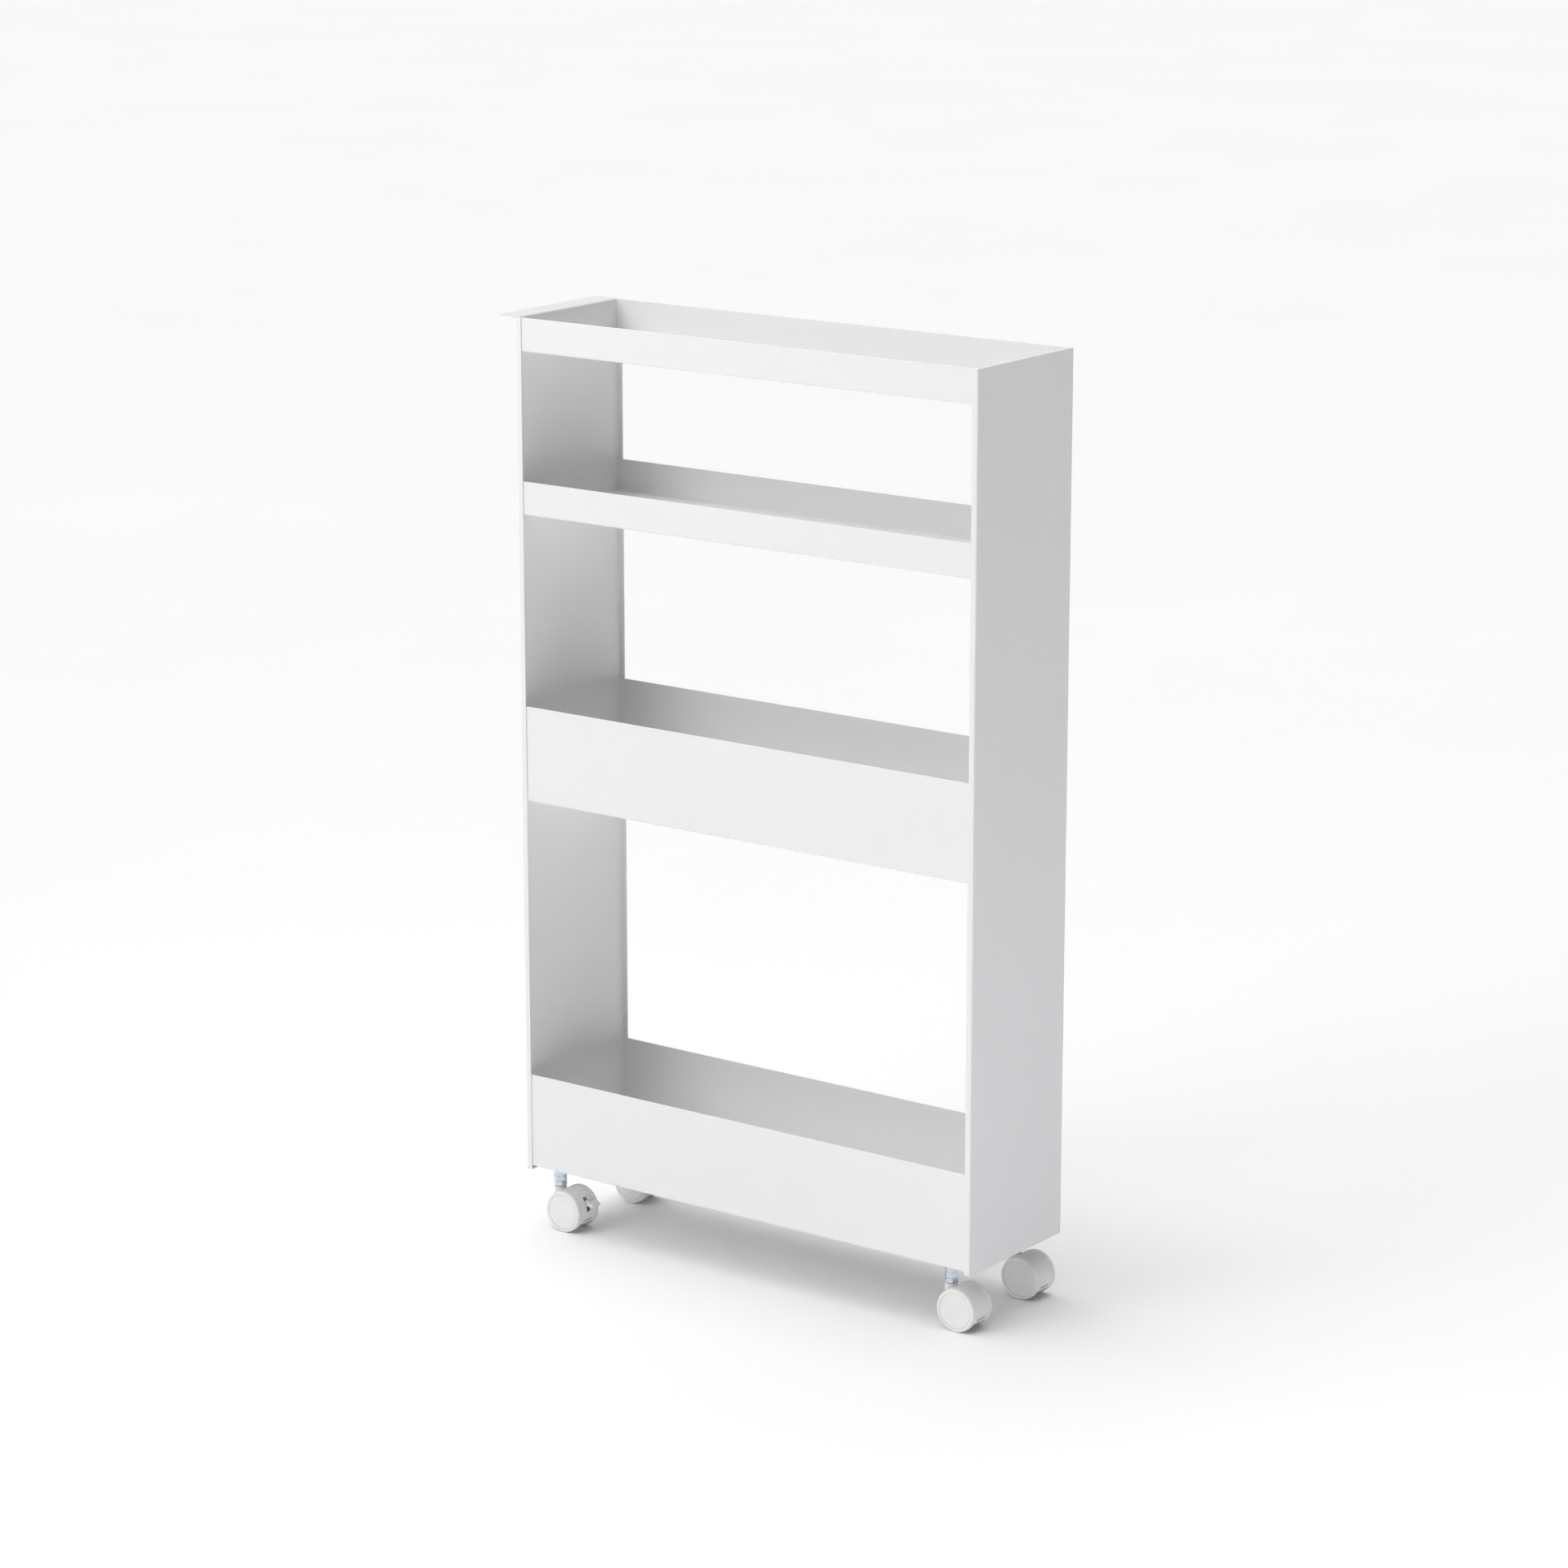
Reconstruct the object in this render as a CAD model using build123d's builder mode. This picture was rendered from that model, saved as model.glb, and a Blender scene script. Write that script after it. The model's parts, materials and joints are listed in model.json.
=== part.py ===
from build123d import *
import os
from math import cos, radians, sin, sqrt

# A slim pantry cart: two folded end panels, four folded trays between them and four
# twin-wheel casters. Millimetres, +Z up, floor at Z = 0. X runs along the cart, with the
# pull lip at -X, and Y across it, with the front at -Y. The origin is the middle of the
# whole object's footprint.

# ---- driving dimensions: body ----
body_length = 470.0      # over the two end panels
body_depth = 138.0
handle_reach = 24.0      # how far the pull lip stands out past its panel
panel_bottom = 54.0      # height of the panels' lower edge above the floor
panel_height = 754.5
sheet = 1.0              # sheet steel with its coat
return_width = 5.5       # folded edge of a panel, over the outer face
panel_bend = 1.5         # outer bend radius of a panel's edge
tray_bend = 2.0          # outer bend radius under a tray's walls
edge_round = 0.4         # rounding of a cut sheet edge
relief_width = 1.4       # notch where two folded edges meet, from the panel's front or back
relief_depth = 1.3
relief_slit = 0.6        # slit beside the flat sheet, cut deeper than the notch
relief_slit_depth = 2.8
lip_bend = 1.0           # inner bend radius of the pull lip
lip_relief = 3.0         # how far below the top the lip's own sheet starts
hem_width = 8.0          # folded under the pull lip's free edge
hem_gap = 0.3
hem_side = 60.0          # the hem stops this far from the middle, short of the lip's corners
lip_corner = 8.0         # plan radius of the lip's two corners

# name, height of the underside, height of the walls, direction of its end tabs
trays = [
    ("top_tray", 779.5, 29.0, -1),
    ("second_tray", 639.5, 29.0, -1),
    ("third_tray", 388.5, 84.0, -1),
    ("bottom_tray", 57.0, 84.5, 1),
]
tab_width = 36.0
tab_height = 10.0
tab_corner = 2.5
tab_hole_spacing = 20.0
stud_drop = 5.2          # from the tray's underside, or floor, to the studs' axes
stud_diameter = 4.0
stud_length = 9.0
stud_clearance = 0.2
flange_nut_flats = 7.0
flange_nut_height = 3.6
flange_nut_rim = 4.6
flange_nut_rim_height = 1.0
gusset = 3.5             # rounded corner where the top tray's wall meets the far panel

# ---- driving dimensions: casters ----
wheel_radius = 18.6
caster_width = 28.8
trail = 13.2             # from the swivel axis back to the axle
stem_inset_handle = 20.7
stem_inset_back = 31.9
stem_inset_side = 21.0
hex_flats = 10.0
hex_chamfer = 0.8
neck_top = 37.3
collar_bottom = 37.6
collar_height = 4.3
lock_nut_height = 5.0
thread_diameter = 6.0
pin_diameter = 5.0
running = 0.05           # radial clearance of a pin in its bore
pin_depth = 12.0
pin_end_gap = 0.5        # between the swivel pin and the bottom of its bore
pin_groove = (2.0, 3.0)  # the groove's two edges, above the pin's lower end
pin_groove_depth = 0.4
thread_chamfer = 0.7
neck_diameter = 11.0
neck_sunk = 3.0          # how far below the axle's height the neck's foot lies
hood_radius = 18.3
hood_wall = 1.5
hood_half_width = 9.1
hood_end = -35.0         # degrees from the trailing side, counted upwards
hood_start = 192.0
web_half = 1.9
web_radius = 17.0
boss_radius = 4.6
boss_overlap = 1.0
vent_angles = (-26.0, -21.0)
vent_half_width = 6.0
rim_inner = 9.4          # where a wheel's rim starts, from the caster's middle
hub_inner = 2.2
hub_radius = 12.2
hub_gap = 0.4            # between the neck and the hubs
wheel_round = 1.8        # rounding of the tread's outer edge
wheel_break = 0.5
cap_radius = 15.3
cap_recess = 15.5
cap_floor = 13.0         # from the caster's middle to the cap's seat
cap_groove = 0.5         # depth of the fine ring groove round the cap
cap_fit = 0.05
cap_edge = 0.3
clip_radius = 4.6
clip_recess = 5.4
clip_inner = 12.0
clip_thickness = 0.5
clip_gap = 0.3
axle_half = 12.8
axle_chamfer = 0.4

# ---- driving dimensions: brake ----
lever_pivot_angle = 62.0
lever_pivot_reach = 14.5
lever_pin_diameter = 2.2
lever_boss_radius = 2.0
lever_inner = 14.6
lever_outer = 16.3
lever_side = (2.3, 6.2)
lever_end_angle = 12.0
slot_angles = (0.5, 44.0)
slot_side = (-2.2, 2.4)
slot_inner = 12.3        # the web is cut away this far in, to let the lever's foot sink
stalk_side = (-1.8, 2.0)  # the lever's stretch through the slot
thumb_side = (-1.8, 8.8)  # its wide end outside the hood
thumb_inner = 20.9
foot_angles = (14.0, 33.0)  # where the stalk joins the arm under the hood
# the tab's side view: reach from the axle and degrees above the trailing side
tab_outline = [(14.8, 32), (18.2, 33), (22.9, 22.5), (25.2, 15.5), (24.7, 11.5), (20.8, 14.5),
               (17.4, 18), (14.8, 20)]
tab_tip = 0.7
brake_pin_far = 6.8

# ---- worked out ----
body_left = -(body_length - handle_reach) / 2
body_right = body_left + body_length
half_depth = body_depth / 2
panel_top = panel_bottom + panel_height
wall_face = half_depth - sheet           # trays stand just inside the panels' folded edges
lock_nut_bottom = collar_bottom + collar_height
socket_bottom = lock_nut_bottom + lock_nut_height
half_caster = caster_width / 2
tray_bottoms = {name: bottom for name, bottom, height, tabs in trays}

os.makedirs("parts", exist_ok=True)


def save(part, label):
    """Labels a finished piece and writes it as its own STEP file."""
    part.label = label
    export_step(part, f"parts/{label}.step")


# ---- end panels ----
def cut_corner_relief(outer_x, inward, edge_z, up):
    """Opens the sheet where two folded edges meet at a panel's corner."""
    notch_x = outer_x + inward * (sheet + return_width) / 2
    slit_x = outer_x + inward * (sheet + relief_slit / 2)
    for side in (-1, 1):
        corner_y = side * (half_depth - relief_width / 2)
        with BuildSketch(Plane.XY.offset(edge_z)) as notch:
            with Locations((notch_x, corner_y)):
                Rectangle(return_width - sheet, relief_width)
        extrude(notch.sketch, amount=up * relief_depth, mode=Mode.SUBTRACT)
        with BuildSketch(Plane.XY.offset(edge_z)) as slit:
            with Locations((slit_x, corner_y)):
                Rectangle(relief_slit, relief_width)
        extrude(slit.sketch, amount=up * relief_slit_depth, mode=Mode.SUBTRACT)


def fold_panel(outer_x, inward, open_top):
    """Adds a panel's flat sheet and its folded edges to the part being built."""
    with BuildSketch(Plane.XY.offset(panel_bottom)) as outside:
        with Locations((outer_x + inward * return_width / 2, 0)):
            Rectangle(return_width, body_depth)
    extrude(outside.sketch, amount=panel_height)
    outer_edges = edges().filter_by(Axis.Z).sort_by(Axis.X)
    fillet(outer_edges[:2] if inward > 0 else outer_edges[-2:], radius=panel_bend)
    inner_top = panel_height if open_top else panel_height - sheet
    with BuildSketch(Plane.XY.offset(panel_bottom + sheet)) as inside:
        with Locations((outer_x + inward * (sheet + return_width / 2), 0)):
            Rectangle(return_width, body_depth - 2 * sheet)
    extrude(inside.sketch, amount=inner_top - sheet, mode=Mode.SUBTRACT)
    cut_corner_relief(outer_x, inward, panel_bottom, 1)
    if not open_top:
        cut_corner_relief(outer_x, inward, panel_top, -1)


def lip_section(near_y, width, hemmed):
    """A stretch of the pull lip along Y: bend, flat sheet and, if hemmed, the fold under it."""
    inner_face = body_left + sheet
    start_z = panel_top - lip_relief
    low = panel_top - sheet
    nose = sheet + hem_gap / 2
    under = panel_top - 2 * nose
    free_x = body_left - handle_reach
    nose_x = free_x + nose
    hem_x = free_x + hem_width
    bend_x = body_left - lip_bend
    bend_outer = lip_bend + sheet
    with BuildSketch(Plane.XZ.offset(-near_y)) as profile:
        with BuildLine():
            Line((inner_face, start_z), (inner_face, panel_top - bend_outer))
            RadiusArc((inner_face, panel_top - bend_outer), (bend_x, panel_top), -bend_outer)
            if hemmed:
                Line((bend_x, panel_top), (nose_x, panel_top))
                RadiusArc((nose_x, panel_top), (nose_x, under), -nose)
                Polyline((nose_x, under), (hem_x, under), (hem_x, under + sheet),
                         (nose_x, under + sheet))
                RadiusArc((nose_x, under + sheet), (nose_x, low), hem_gap / 2)
                Line((nose_x, low), (bend_x, low))
            else:
                Polyline((bend_x, panel_top), (free_x, panel_top), (free_x, low), (bend_x, low))
            RadiusArc((bend_x, low), (body_left, low - lip_bend), lip_bend)
            Polyline((body_left, low - lip_bend), (body_left, start_z), (inner_face, start_z))
        make_face()
    extrude(profile.sketch, amount=width)


def pull_lip():
    """The panel's top edge folded outward: hemmed between its rounded plain corners."""
    lip_section(hem_side, 2 * hem_side, True)
    lip_section(half_depth, half_depth - hem_side, False)
    lip_section(-hem_side, half_depth - hem_side, False)
    corners = [edge for edge in edges().filter_by(Axis.Z)
               if edge.center().X < body_left - handle_reach + 0.01
               and abs(edge.center().Y) > half_depth - 0.01]
    fillet(corners, radius=lip_corner)


with BuildPart() as handle_end_panel:
    fold_panel(body_left, 1, open_top=True)
    # the flat sheet makes way for the lip's bend
    with BuildSketch(Plane.XY.offset(panel_top)):
        with Locations((body_left + sheet / 2, 0)):
            Rectangle(sheet, body_depth)
    extrude(amount=-lip_relief, mode=Mode.SUBTRACT)
    pull_lip()
save(handle_end_panel.part, "handle_end_panel")

with BuildPart() as back_end_panel:
    fold_panel(body_right, -1, open_top=False)
save(back_end_panel.part, "back_end_panel")


# ---- trays ----
def tray_gusset(bottom):
    """Rounded inside corner under the wall's far end, on both walls."""
    corner_x = body_right - return_width
    for side in (-1, 1):
        with BuildSketch(Plane.XZ.offset(-side * wall_face)) as web:
            with BuildLine():
                Line((corner_x + 1, bottom + tray_bend), (corner_x + 1, bottom - gusset))
                Line((corner_x + 1, bottom - gusset), (corner_x, bottom - gusset))
                RadiusArc((corner_x, bottom - gusset), (corner_x - gusset, bottom), -gusset)
                Line((corner_x - gusset, bottom), (corner_x - gusset, bottom + tray_bend))
                Line((corner_x - gusset, bottom + tray_bend), (corner_x + 1, bottom + tray_bend))
            make_face()
        extrude(web.sketch, amount=side * sheet)


def make_tray(name, bottom, height, tabs):
    """A channel of sheet: floor, front and back walls, and a folded tab at each end."""
    inner_left = body_left + sheet
    inner_right = body_right - sheet
    with BuildPart() as tray:
        with BuildSketch(Plane.YZ.offset(inner_left)):
            with Locations((0, bottom + height / 2)):
                Rectangle(2 * wall_face, height)
            fillet(vertices().group_by(Axis.Y)[0], radius=tray_bend)
            with Locations((0, bottom + sheet + height / 2)):
                Rectangle(2 * (wall_face - sheet), height, mode=Mode.SUBTRACT)
        extrude(amount=inner_right - inner_left)
        floor_corners = [edge for edge in edges().filter_by(Axis.X)
                         if abs(edge.center().Z - bottom - sheet) < 0.01]
        fillet(floor_corners, radius=tray_bend - sheet)
        fillet(edges().filter_by(Axis.X).group_by(Axis.Z)[-1], radius=edge_round)
        tab_base = bottom if tabs < 0 else bottom + sheet
        for end_x, inward in ((inner_left, 1), (inner_right, -1)):
            with BuildSketch(Plane.YZ.offset(end_x)):
                with Locations((0, tab_base + tabs * tab_height / 2)):
                    Rectangle(tab_width, tab_height)
                fillet(vertices().group_by(Axis.Y)[0 if tabs < 0 else -1], radius=tab_corner)
                with Locations((0, tab_base + tabs * stud_drop)):
                    with GridLocations(tab_hole_spacing, 1, 2, 1):
                        Circle(stud_diameter / 2 + stud_clearance, mode=Mode.SUBTRACT)
            extrude(amount=inward * sheet)
        if name == "top_tray":
            tray_gusset(bottom)
    save(tray.part, name)


for tray_row in trays:
    make_tray(*tray_row)


# ---- fixings between trays and panels ----
def stud_rows():
    """Every stud's place: X of the panel's inner face, direction inward, Y and Z."""
    for name, bottom, height, tabs in trays:
        tab_base = bottom if tabs < 0 else bottom + sheet
        for end_x, inward in ((body_left + sheet, 1), (body_right - sheet, -1)):
            for side in (-1, 1):
                yield end_x, inward, side * tab_hole_spacing / 2, tab_base + tabs * stud_drop


with BuildPart() as weld_studs:
    for stud_x, inward, stud_y, stud_z in stud_rows():
        with BuildSketch(Plane.YZ.offset(stud_x)):
            with Locations((stud_y, stud_z)):
                Circle(stud_diameter / 2)
        extrude(amount=inward * stud_length)
    chamfer(edges().filter_by(GeomType.CIRCLE).filter_by(
        lambda edge: body_left + 5 < edge.center().X < body_right - 5), length=0.5)
save(weld_studs.part, "weld_studs")

with BuildPart() as tray_nuts:
    for stud_x, inward, stud_y, stud_z in stud_rows():
        seat_x = stud_x + inward * sheet
        with BuildSketch(Plane.YZ.offset(seat_x)):
            with Locations((stud_y, stud_z)):
                Circle(flange_nut_rim)
                Circle(stud_diameter / 2 + running, mode=Mode.SUBTRACT)
        extrude(amount=inward * flange_nut_rim_height)
        with BuildSketch(Plane.YZ.offset(seat_x)):
            with Locations((stud_y, stud_z)):
                RegularPolygon(flange_nut_flats / 2, 6, major_radius=False)
                Circle(stud_diameter / 2 + running, mode=Mode.SUBTRACT)
        extrude(amount=inward * flange_nut_height)
save(tray_nuts.part, "tray_nuts")


# ---- caster mounting ----
front_stem_y = -(half_depth - stem_inset_side)
handle_stem_x = body_left + stem_inset_handle
far_stem_x = body_right - stem_inset_back
# name, stem's X and Y, brake fitted, how far its hex collar and its lock nut are turned
casters = [
    ("handle_front", handle_stem_x, front_stem_y, True, 24.5, 45.0),
    ("handle_back", handle_stem_x, -front_stem_y, True, 8.0, 31.0),
    ("far_front", far_stem_x, front_stem_y, False, 13.5, 15.0),
    ("far_back", far_stem_x, -front_stem_y, False, 40.0, 52.0),
]


def hex_nut(low, high, chamfer_low, chamfer_high):
    """A threaded hexagon at every stem, its corners turned off at the chosen ends."""
    for name, stem_x, stem_y, brake, collar_turn, nut_turn in casters:
        with BuildSketch(Plane.XY.offset(low)) as hexagon:
            with Locations((stem_x, stem_y)):
                RegularPolygon(hex_flats / 2, 6, major_radius=False, rotation=nut_turn)
                Circle(thread_diameter / 2 + running, mode=Mode.SUBTRACT)
        extrude(hexagon.sketch, amount=high - low)
        round_off(stem_x, stem_y, low, high, chamfer_low, chamfer_high)


def round_off(stem_x, stem_y, low, high, chamfer_low, chamfer_high):
    """Turns the corners of one hexagon to a cone, as on a turned nut."""
    flats = hex_flats / 2
    wide = flats + 3
    section = Plane(origin=(stem_x, stem_y, 0), x_dir=(1, 0, 0), z_dir=(0, -1, 0))
    spin_axis = Axis((stem_x, stem_y, 0), (0, 0, 1))
    for level, inward, wanted in ((low, 1, chamfer_low), (high, -1, chamfer_high)):
        if not wanted:
            continue
        with BuildSketch(section) as corner:
            with BuildLine():
                Polyline((flats - 0.1, level), (wide, level + inward * hex_chamfer * 2.6),
                         (wide, level), close=True)
            make_face()
        revolve(corner.sketch, axis=spin_axis, mode=Mode.SUBTRACT)


with BuildPart() as caster_sockets:
    hex_nut(socket_bottom, tray_bottoms["bottom_tray"], True, False)
save(caster_sockets.part, "caster_sockets")

with BuildPart() as caster_lock_nuts:
    hex_nut(lock_nut_bottom, socket_bottom, True, True)
save(caster_lock_nuts.part, "caster_lock_nuts")


# ---- casters ----
def turned(section, axis, points, mode=Mode.ADD):
    """Revolves a closed outline, given in the section's plane, about an axis."""
    with BuildSketch(section) as outline:
        with BuildLine():
            Polyline(*points, close=True)
        make_face()
    revolve(outline.sketch, axis=axis, mode=mode)


def make_stem(name, stem_x, stem_y, collar_turn):
    """Threaded stem, hex collar and the smooth grooved pin that the caster swivels on."""
    section = Plane(origin=(stem_x, stem_y, 0), x_dir=(1, 0, 0), z_dir=(0, -1, 0))
    spin_axis = Axis((stem_x, stem_y, 0), (0, 0, 1))
    thread = thread_diameter / 2
    pin = pin_diameter / 2
    pin_low = neck_top - pin_depth + pin_end_gap
    top = tray_bottoms["bottom_tray"] - pin_end_gap
    groove_low = pin_low + pin_groove[0]
    groove_high = pin_low + pin_groove[1]
    groove_radius = pin - pin_groove_depth
    with BuildPart() as stem:
        with BuildSketch(Plane.XY.offset(collar_bottom)):
            with Locations((stem_x, stem_y)):
                RegularPolygon(hex_flats / 2, 6, major_radius=False, rotation=collar_turn)
        extrude(amount=collar_height)
        round_off(stem_x, stem_y, collar_bottom, lock_nut_bottom, True, True)
        turned(section, spin_axis, [
            (0, lock_nut_bottom - 1), (thread, lock_nut_bottom - 1),
            (thread, top - thread_chamfer), (thread - thread_chamfer, top), (0, top)])
        turned(section, spin_axis, [
            (0, pin_low), (pin - 0.5, pin_low), (pin, pin_low + 0.5), (pin, groove_low),
            (groove_radius, groove_low), (groove_radius, groove_high), (pin, groove_high),
            (pin, collar_bottom + 1), (0, collar_bottom + 1)])
    save(stem.part, f"{name}_stem")


def axle_plane(stem_x, stem_y, side_offset=0.0):
    """Plane across the axle, with its own x trailing and its own y up."""
    origin = (stem_x + trail, stem_y + side_offset, wheel_radius)
    return Plane(origin=origin, x_dir=(1, 0, 0), z_dir=(0, -1, 0))


def polar(reach, angle):
    """Point at an angle above the trailing side, in the plane across the axle."""
    return (reach * cos(radians(angle)), reach * sin(radians(angle)))


def band(stem_x, stem_y, near, far, inner, outer, low, high, mode=Mode.ADD):
    """Part of a ring round the axle, between two angles, from near to far along the axle."""
    middle = (low + high) / 2
    with BuildSketch(axle_plane(stem_x, stem_y, far)) as sector:
        with BuildLine():
            Line(polar(inner, low), polar(outer, low))
            ThreePointArc(polar(outer, low), polar(outer, middle), polar(outer, high))
            Line(polar(outer, high), polar(inner, high))
            ThreePointArc(polar(inner, high), polar(inner, middle), polar(inner, low))
        make_face()
    extrude(sector.sketch, amount=far - near, mode=mode)


def make_housing(name, stem_x, stem_y, brake):
    """Neck, central web and hood of one caster, moulded in one piece."""
    neck_foot = wheel_radius - neck_sunk
    with BuildPart() as housing:
        # web from the axle boss out to the hood
        band(stem_x, stem_y, -web_half, web_half, boss_radius - boss_overlap, web_radius,
             hood_end, hood_start)
        with BuildSketch(axle_plane(stem_x, stem_y, web_half)):
            Circle(boss_radius)
        extrude(amount=2 * web_half)
        # hood
        band(stem_x, stem_y, -hood_half_width, hood_half_width,
             hood_radius - hood_wall, hood_radius, hood_end, hood_start)
        # neck, cut back where the wheels' hubs turn
        with BuildSketch(Plane.XY.offset(neck_foot)):
            with Locations((stem_x, stem_y)):
                Circle(neck_diameter / 2)
        extrude(amount=neck_top - neck_foot)
        for near, far in ((web_half, half_caster), (-half_caster, -web_half)):
            with BuildSketch(axle_plane(stem_x, stem_y, far)):
                Circle(hub_radius + hub_gap)
            extrude(amount=far - near, mode=Mode.SUBTRACT)
        # swivel bore, axle bore and the slot near the hood's lower end
        with BuildSketch(Plane.XY.offset(neck_top)):
            with Locations((stem_x, stem_y)):
                Circle(pin_diameter / 2 + running)
        extrude(amount=-pin_depth, mode=Mode.SUBTRACT)
        with BuildSketch(axle_plane(stem_x, stem_y, half_caster)):
            Circle(pin_diameter / 2)
        extrude(amount=caster_width, mode=Mode.SUBTRACT)
        band(stem_x, stem_y, -vent_half_width, vent_half_width, web_radius - 3,
             hood_radius + 1, vent_angles[0], vent_angles[1], Mode.SUBTRACT)
        if brake:
            band(stem_x, stem_y, slot_side[0], slot_side[1],
                 slot_inner, hood_radius + 1, slot_angles[0], slot_angles[1], Mode.SUBTRACT)
            pivot = polar(lever_pivot_reach, lever_pivot_angle)
            with BuildSketch(axle_plane(stem_x, stem_y, web_half)):
                with Locations(pivot):
                    Circle(lever_pin_diameter / 2)
            extrude(amount=2 * web_half, mode=Mode.SUBTRACT)
        hood_rims = [edge for edge in edges().filter_by(GeomType.CIRCLE)
                     if abs(edge.radius - hood_radius) < 0.01]
        fillet(hood_rims, radius=0.3)
    save(housing.part, f"{name}_housing")


def make_brake(name, stem_x, stem_y):
    """Brake lever in the hood's slot, and the pin it tilts on."""
    pivot = polar(lever_pivot_reach, lever_pivot_angle)
    near, far = lever_side
    with BuildPart() as lever:
        # thumb tab outside the hood, on a narrower stalk through the slot
        with BuildSketch(axle_plane(stem_x, stem_y, thumb_side[1])):
            with BuildLine():
                Polyline(*[polar(reach, angle) for reach, angle in tab_outline], close=True)
            make_face()
            fillet(vertices().sort_by(Axis.X)[-2:], radius=tab_tip)
        extrude(amount=thumb_side[1] - thumb_side[0])
        band(stem_x, stem_y, stalk_side[1], thumb_side[1] + 1, hub_radius, thumb_inner,
             0, lever_pivot_angle, Mode.SUBTRACT)
        # arm under the hood, its foot across to the stalk, and its boss
        band(stem_x, stem_y, near, far, lever_inner, lever_outer, lever_end_angle, lever_pivot_angle)
        band(stem_x, stem_y, stalk_side[0], far, lever_inner, lever_outer, *foot_angles)
        for mode, radius in ((Mode.ADD, lever_boss_radius),
                             (Mode.SUBTRACT, lever_pin_diameter / 2 + running)):
            with BuildSketch(axle_plane(stem_x, stem_y, far)):
                with Locations(pivot):
                    Circle(radius)
            extrude(amount=far - near, mode=mode)
    save(lever.part, f"{name}_brake_lever")
    with BuildPart() as brake_pin:
        with BuildSketch(axle_plane(stem_x, stem_y, brake_pin_far)):
            with Locations(pivot):
                Circle(lever_pin_diameter / 2)
        extrude(amount=brake_pin_far + web_half)
    save(brake_pin.part, f"{name}_brake_pin")


def make_axle(name, stem_x, stem_y):
    """Axle pin pressed in the web, with a push-on clip near each end."""
    with BuildPart() as axle:
        with BuildSketch(axle_plane(stem_x, stem_y, axle_half)):
            Circle(pin_diameter / 2)
        extrude(amount=2 * axle_half)
        chamfer(edges().filter_by(GeomType.CIRCLE), length=axle_chamfer)
    save(axle.part, f"{name}_axle")
    with BuildPart() as clips:
        for side in (-1, 1):
            with BuildSketch(axle_plane(stem_x, stem_y, side * clip_inner)):
                Circle(clip_radius)
                Circle(pin_diameter / 2, mode=Mode.SUBTRACT)
            extrude(amount=-side * clip_thickness)
    save(clips.part, f"{name}_axle_clips")


def make_wheel(name, stem_x, stem_y, side, label):
    """One disc wheel with its recessed face, and the hub cap that sits in the recess."""
    origin = (stem_x + trail, stem_y, wheel_radius)
    section = Plane(origin=origin, x_dir=(0, side, 0), z_dir=(side, 0, 0))
    axis = Axis(origin, (0, 1, 0))
    bore = pin_diameter / 2 + running
    seat = clip_inner - clip_gap
    face = half_caster
    tread_edge = wheel_radius - wheel_round
    shoulder = wheel_round * (1 - sqrt(0.5))
    with BuildPart() as wheel:
        with BuildSketch(section):
            with BuildLine():
                Polyline((seat, bore), (hub_inner, bore), (hub_inner, hub_radius - wheel_break),
                         (hub_inner + wheel_break, hub_radius), (rim_inner, hub_radius),
                         (rim_inner, wheel_radius - wheel_break),
                         (rim_inner + wheel_break, wheel_radius),
                         (face - wheel_round, wheel_radius))
                ThreePointArc((face - wheel_round, wheel_radius),
                              (face - shoulder, wheel_radius - shoulder), (face, tread_edge))
                Polyline((face, tread_edge), (face, cap_recess), (cap_floor, cap_recess),
                         (cap_floor, clip_recess), (seat, clip_recess), (seat, bore))
            make_face()
        revolve(axis=axis)
    save(wheel.part, f"{name}_{label}_wheel")
    with BuildPart() as cap:
        with BuildSketch(section):
            with BuildLine():
                Polyline((cap_floor, 0), (cap_floor, cap_recess - cap_fit),
                         (face - cap_groove, cap_recess - cap_fit), (face - cap_groove, cap_radius),
                         (face - cap_edge, cap_radius), (face, cap_radius - cap_edge),
                         (face, 0), close=True)
            make_face()
        revolve(axis=axis)
    save(cap.part, f"{name}_{label}_cap")


for caster_name, caster_x, caster_y, has_brake, collar_turn, nut_turn in casters:
    make_stem(caster_name, caster_x, caster_y, collar_turn)
    make_housing(caster_name, caster_x, caster_y, has_brake)
    make_axle(caster_name, caster_x, caster_y)
    outer = -1 if caster_y < 0 else 1
    make_wheel(caster_name, caster_x, caster_y, outer, "outer")
    make_wheel(caster_name, caster_x, caster_y, -outer, "inner")
    if has_brake:
        make_brake(caster_name, caster_x, caster_y)
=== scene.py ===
import json
import math

import bpy
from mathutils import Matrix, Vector

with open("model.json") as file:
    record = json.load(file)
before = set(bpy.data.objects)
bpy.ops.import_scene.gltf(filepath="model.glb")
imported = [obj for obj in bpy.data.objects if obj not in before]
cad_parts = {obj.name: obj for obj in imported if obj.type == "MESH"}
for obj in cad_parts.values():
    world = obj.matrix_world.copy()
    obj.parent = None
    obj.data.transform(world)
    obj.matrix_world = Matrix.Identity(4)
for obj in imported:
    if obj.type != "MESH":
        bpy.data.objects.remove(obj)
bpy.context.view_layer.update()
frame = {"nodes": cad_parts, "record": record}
scene = bpy.context.scene
nodes = frame["nodes"]

# ---- colours, linear ----
COAT = (0.885, 0.878, 0.885)
PLASTIC = (0.885, 0.877, 0.867)
BRAKE_PLASTIC = (0.85, 0.845, 0.83)
ZINC = (0.62, 0.68, 0.76)
STEEL = (0.56, 0.56, 0.57)
FLOOR = (0.975, 0.975, 0.977)

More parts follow.
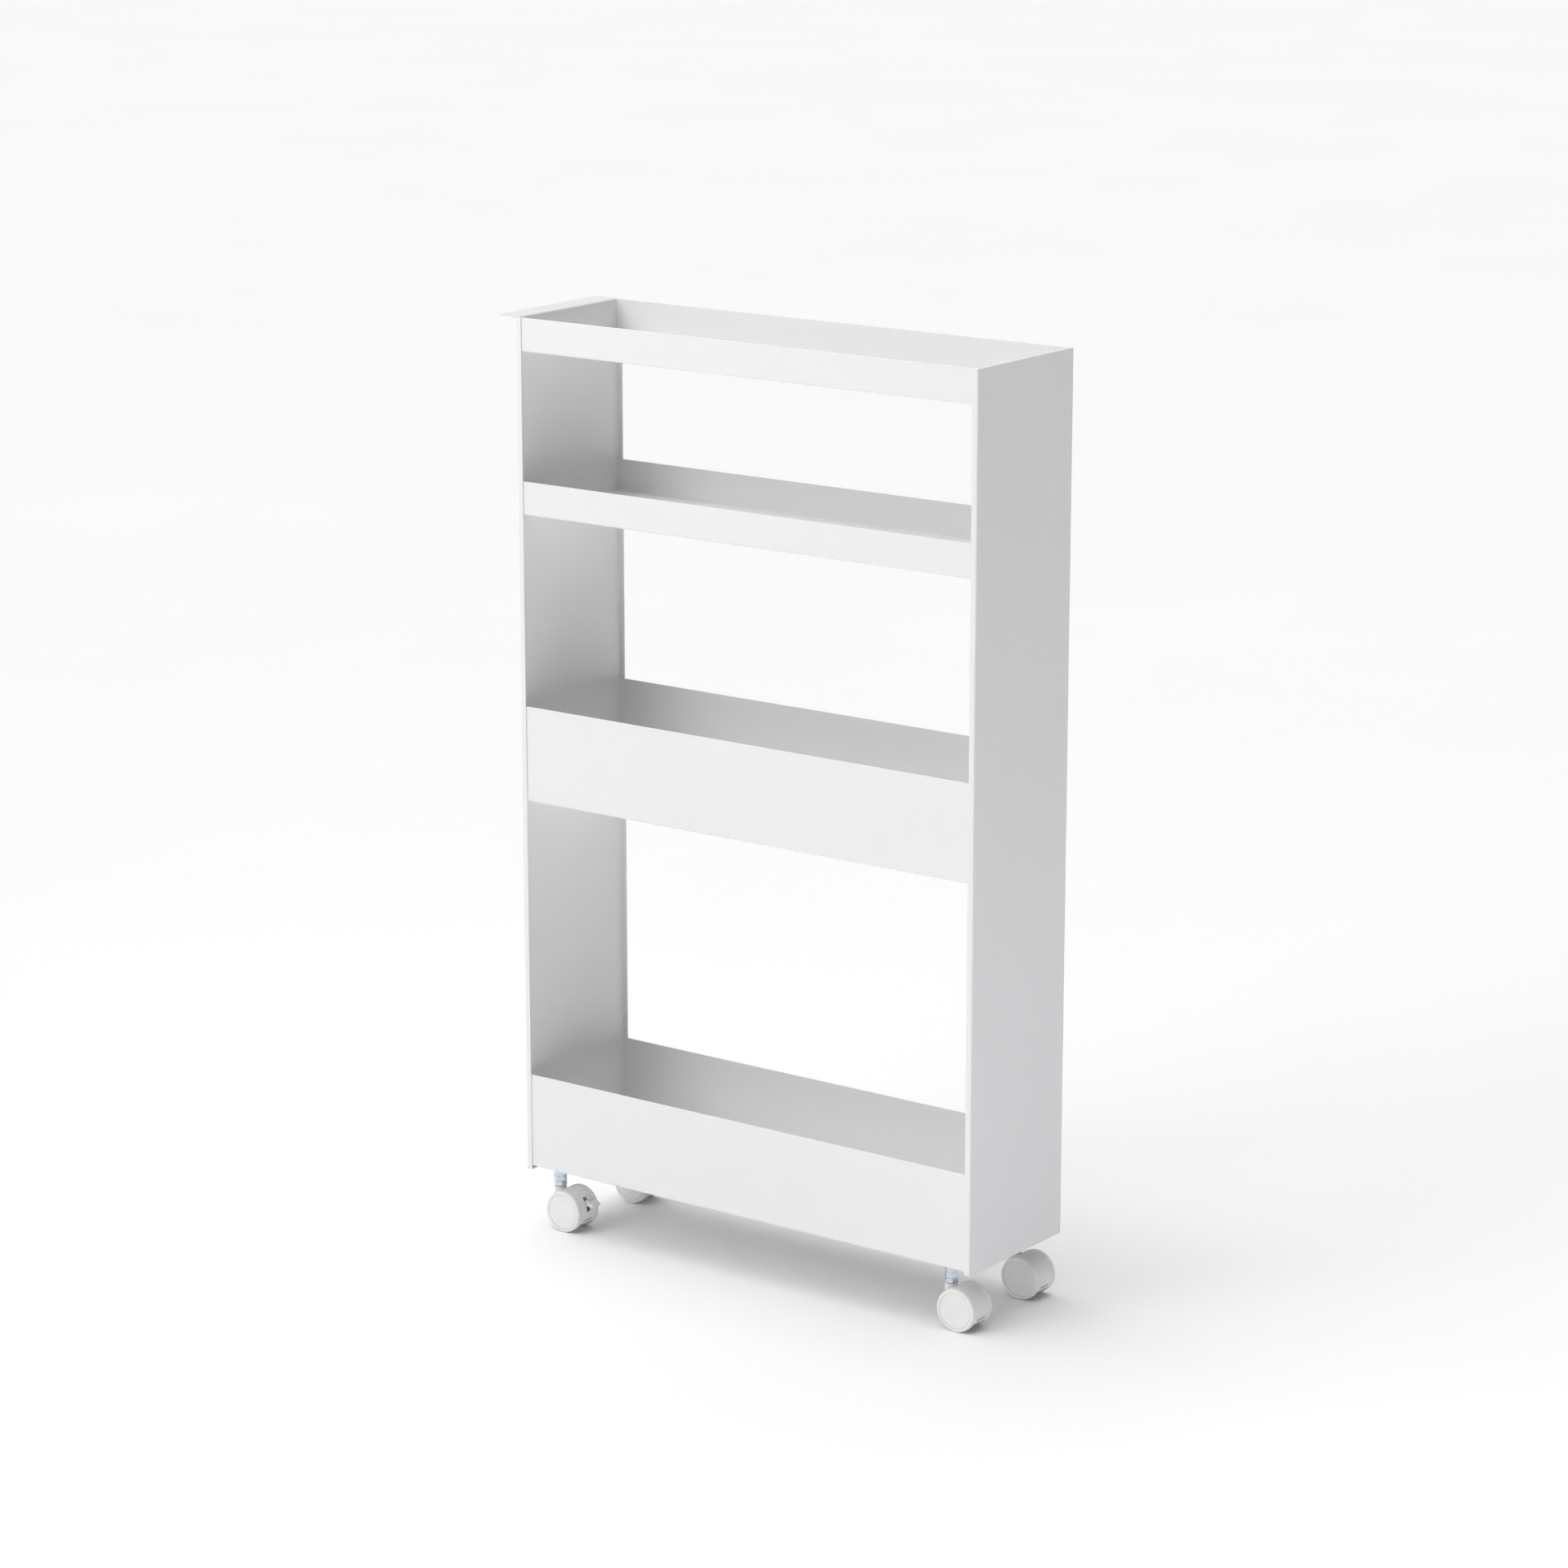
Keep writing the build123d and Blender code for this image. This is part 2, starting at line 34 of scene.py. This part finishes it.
# ---- how rough each finish is, from its smoothest spots to its roughest ----
COAT_ROUGH = (0.40, 0.52)
PLASTIC_ROUGH = (0.36, 0.5)
ZINC_ROUGH = (0.07, 0.18)
STEEL_ROUGH = (0.25, 0.42)
FLOOR_ROUGH = (0.75, 0.85)

# ---- depth of each finish's fine relief, metres ----
COAT_PEBBLE = 0.00025
PLASTIC_GRAIN = 0.00012
METAL_LINES = 0.0001

# ---- light ----
SKY_ZENITH = 2.42        # straight up
SKY_FALLOFF = 3.2        # how fast the sky dims away from straight up
SKY_HORIZON = 1.0
SKY_BAND = 0.16          # the pale band's height above the horizon, as the sine of its elevation
SKY_LEAN = 0.95          # how much brighter the sky is on the handle's side
SKY_TINT = (0.99, 0.985, 0.99)
FRONT_FROM = (-0.36, -0.82, 0.454)
FRONT_SPREAD = 32.0      # degrees
FRONT_STRENGTH = 0.6
KEY_PLACE = (-0.42, -0.75, 1.15)
KEY_TARGET = (0.0, 0.0, 0.6)
KEY_SIZE = (1.0, 1.0)
KEY_POWER = 1.6
KEY_TINT = (1.0, 1.0, 0.99)
FILL_PLACE = (0.85, -0.3, 0.05)
FILL_TARGET = (0.25, 0.0, 0.07)
FILL_SIZE = (0.5, 0.08)
FILL_POWER = 0.5
FILL_TINT = (0.97, 0.92, 1.0)
FLOOR_SIZE = 40.0

# ---- view ----
VIEW_YAW = 36.3
VIEW_PITCH = 14.1
LENS = 107.85
CAMERA_PLACE = (2.2865, -3.1032, 1.3906)


# ---- camera ----
def make_camera():
    data = bpy.data.cameras.new("camera")
    data.lens = LENS
    data.sensor_width = 36.0
    data.clip_end = 50.0
    camera = bpy.data.objects.new("camera", data)
    scene.collection.objects.link(camera)
    yaw = math.radians(VIEW_YAW)
    pitch = math.radians(VIEW_PITCH)
    forward = Vector((-math.sin(yaw) * math.cos(pitch), math.cos(yaw) * math.cos(pitch),
                      -math.sin(pitch)))
    camera.location = CAMERA_PLACE
    camera.rotation_mode = "QUATERNION"
    camera.rotation_quaternion = forward.to_track_quat("-Z", "Y")
    scene.camera = camera


make_camera()


# ---- materials ----
def calculate(tree, operation, *values):
    """Adds a math node to a tree. Each value is a number or another node's output."""
    node = tree.nodes.new("ShaderNodeMath")
    node.operation = operation
    for socket, value in zip(node.inputs, values):
        if isinstance(value, (int, float)):
            socket.default_value = value
        else:
            tree.links.new(value, socket)
    return node.outputs["Value"]


class Graph:
    """Short calls for building one node material in object coordinates."""

    def __init__(self, name):
        self.material = bpy.data.materials.new(name)
        self.material.use_nodes = True
        self.tree = self.material.node_tree
        self.tree.nodes.clear()
        self.output = self.node("ShaderNodeOutputMaterial")
        self.shader = self.node("ShaderNodeBsdfPrincipled")
        self.link(self.shader.outputs["BSDF"], self.output.inputs["Surface"])
        self.place = self.node("ShaderNodeTexCoord").outputs["Object"]

    def node(self, kind):
        return self.tree.nodes.new(kind)

    def link(self, source, target):
        self.tree.links.new(source, target)

    def noise(self, scale, detail=2.0, roughness=0.5, stretch=None):
        node = self.node("ShaderNodeTexNoise")
        node.inputs["Scale"].default_value = scale
        node.inputs["Detail"].default_value = detail
        node.inputs["Roughness"].default_value = roughness
        source = self.place
        if stretch:
            mapping = self.node("ShaderNodeMapping")
            mapping.inputs["Scale"].default_value = stretch
            self.link(source, mapping.inputs["Vector"])
            source = mapping.outputs["Vector"]
        self.link(source, node.inputs["Vector"])
        return node.outputs["Fac"]

    def ramp(self, value, low, high, low_out=0.0, high_out=1.0):
        node = self.node("ShaderNodeMapRange")
        node.inputs["From Min"].default_value = low
        node.inputs["From Max"].default_value = high
        node.inputs["To Min"].default_value = low_out
        node.inputs["To Max"].default_value = high_out
        self.link(value, node.inputs["Value"])
        return node.outputs["Result"]

    def math(self, operation, first, second):
        return calculate(self.tree, operation, first, second)

    def mix(self, factor, first, second):
        node = self.node("ShaderNodeMix")
        node.data_type = "RGBA"
        self.link(factor, node.inputs["Factor"])
        for socket, value in ((node.inputs["A"], first), (node.inputs["B"], second)):
            if isinstance(value, tuple):
                socket.default_value = (*value, 1.0)
            else:
                self.link(value, socket)
        return node.outputs["Result"]

    def bump(self, height, strength, distance):
        node = self.node("ShaderNodeBump")
        node.inputs["Strength"].default_value = strength
        node.inputs["Distance"].default_value = distance
        self.link(height, node.inputs["Height"])
        return node.outputs["Normal"]

    def finish(self, color, roughness, normal=None):
        self.link(color, self.shader.inputs["Base Color"])
        self.link(roughness, self.shader.inputs["Roughness"])
        if normal is not None:
            self.link(normal, self.shader.inputs["Normal"])
        return self.material


def shade(color, amount):
    return tuple(max(0.0, min(1.0, part * amount)) for part in color)


def powder_coat():
    """Fine-grained white powder coat: a pebbled skin, faint clouding and handling marks."""
    g = Graph("powder_coat")
    cloud = g.ramp(g.noise(7.0, 3.0), 0.3, 0.7)
    speck = g.ramp(g.noise(1300.0, 1.0), 0.35, 0.65)
    color = g.mix(cloud, shade(COAT, 0.985), COAT)
    color = g.mix(g.math("MULTIPLY", speck, 0.12), color, shade(COAT, 0.9))
    rubbed = g.ramp(g.noise(34.0, 4.0, 0.6, stretch=(1.0, 1.0, 0.25)), 0.35, 0.75, *COAT_ROUGH)
    pebble = g.noise(620.0, 2.0, 0.55)
    normal = g.bump(pebble, 0.35, COAT_PEBBLE)
    g.shader.inputs["Specular IOR Level"].default_value = 0.45
    return g.finish(color, rubbed, normal)


def moulded_plastic(name, base):
    """Moulded white nylon: satin, with a fine tool grain and faint flow clouding."""
    g = Graph(name)
    cloud = g.ramp(g.noise(60.0, 3.0), 0.3, 0.7)
    color = g.mix(cloud, shade(base, 0.965), base)
    roughness = g.ramp(g.noise(240.0, 3.0), 0.3, 0.7, *PLASTIC_ROUGH)
    normal = g.bump(g.noise(1900.0, 2.0), 0.25, PLASTIC_GRAIN)
    return g.finish(color, roughness, normal)


def metal(name, base, rough, streak):
    """Turned or plated steel with fine lathe lines and a slightly mottled plating."""
    g = Graph(name)
    mottle = g.ramp(g.noise(150.0, 2.0), 0.3, 0.7)
    color = g.mix(mottle, shade(base, 0.93), base)
    roughness = g.ramp(g.noise(700.0, 3.0), 0.3, 0.7, *rough)
    lines = g.noise(900.0, 2.0, 0.5, stretch=streak)
    normal = g.bump(lines, 0.3, METAL_LINES)
    g.shader.inputs["Metallic"].default_value = 1.0
    return g.finish(color, roughness, normal)


coat = powder_coat()
plastic = moulded_plastic("white_nylon", PLASTIC)
brake_plastic = moulded_plastic("brake_nylon", BRAKE_PLASTIC)
zinc = metal("zinc_plate", ZINC, ZINC_ROUGH, (0.4, 0.4, 3.0))
steel = metal("turned_steel", STEEL, STEEL_ROUGH, (3.0, 0.4, 3.0))

slots = {entry["node"]: entry["material_slot"] for entry in frame["record"]["subparts"]}
looks = {"painted_steel": coat, "white_plastic": plastic, "brake_plastic": brake_plastic,
         "zinc_steel": zinc, "plain_steel": steel}
for name, node in nodes.items():
    node.data.materials.clear()
    node.data.materials.append(looks[slots[name]])


# ---- floor and light ----
def make_floor():
    bpy.ops.mesh.primitive_plane_add(size=FLOOR_SIZE, location=(0, 0, 0))
    floor = bpy.context.object
    floor.name = "floor"
    g = Graph("floor")
    color = g.mix(g.ramp(g.noise(1.5, 3.0), 0.3, 0.7), shade(FLOOR, 0.985), FLOOR)
    roughness = g.ramp(g.noise(5.0, 3.0), 0.3, 0.7, *FLOOR_ROUGH)
    floor.data.materials.append(g.finish(color, roughness))


def area_light(name, place, target, size, power, tint):
    data = bpy.data.lights.new(name, "AREA")
    data.shape = "RECTANGLE"
    data.size, data.size_y = size
    data.energy = power
    data.color = tint
    light = bpy.data.objects.new(name, data)
    scene.collection.objects.link(light)
    light.location = place
    light.rotation_mode = "QUATERNION"
    light.rotation_quaternion = (Vector(target) - Vector(place)).to_track_quat("-Z", "Y")
    light.visible_camera = False


def make_world():
    """A soft overhead sky with a pale band at the horizon, both dimmer past the far end."""
    world = bpy.data.worlds.new("studio")
    world.use_nodes = True
    tree = world.node_tree
    tree.nodes.clear()
    place = tree.nodes.new("ShaderNodeTexCoord")
    split = tree.nodes.new("ShaderNodeSeparateXYZ")
    tree.links.new(place.outputs["Generated"], split.inputs["Vector"])
    height = calculate(tree, "MAXIMUM", split.outputs["Z"], 0.0)
    lean = calculate(tree, "MULTIPLY_ADD", split.outputs["X"], -SKY_LEAN, 1.0)
    overhead = calculate(tree, "POWER", height, SKY_FALLOFF)
    overhead = calculate(tree, "MULTIPLY", overhead, SKY_ZENITH)
    band = tree.nodes.new("ShaderNodeMapRange")
    band.interpolation_type = "SMOOTHSTEP"
    band.inputs["From Min"].default_value = 0.0
    band.inputs["From Max"].default_value = SKY_BAND
    band.inputs["To Min"].default_value = SKY_HORIZON
    band.inputs["To Max"].default_value = 0.0
    tree.links.new(split.outputs["Z"], band.inputs["Value"])
    glow = calculate(tree, "ADD", overhead, band.outputs["Result"])
    glow = calculate(tree, "MULTIPLY", glow, lean)
    background = tree.nodes.new("ShaderNodeBackground")
    background.inputs["Color"].default_value = (*SKY_TINT, 1.0)
    tree.links.new(glow, background.inputs["Strength"])
    output = tree.nodes.new("ShaderNodeOutputWorld")
    tree.links.new(background.outputs["Background"], output.inputs["Surface"])
    scene.world = world


def make_light():
    make_world()
    front = bpy.data.lights.new("front", "SUN")
    front.energy = FRONT_STRENGTH
    front.angle = math.radians(FRONT_SPREAD)
    front_light = bpy.data.objects.new("front", front)
    scene.collection.objects.link(front_light)
    front_light.rotation_mode = "QUATERNION"
    front_light.rotation_quaternion = Vector(FRONT_FROM).to_track_quat("Z", "Y")
    area_light("key", KEY_PLACE, KEY_TARGET, KEY_SIZE, KEY_POWER, KEY_TINT)
    area_light("fill", FILL_PLACE, FILL_TARGET, FILL_SIZE, FILL_POWER, FILL_TINT)


make_floor()
make_light()
scene.view_settings.view_transform = "Standard"
scene.view_settings.look = "None"
scene.view_settings.exposure = 0.0
scene.view_settings.gamma = 1.0
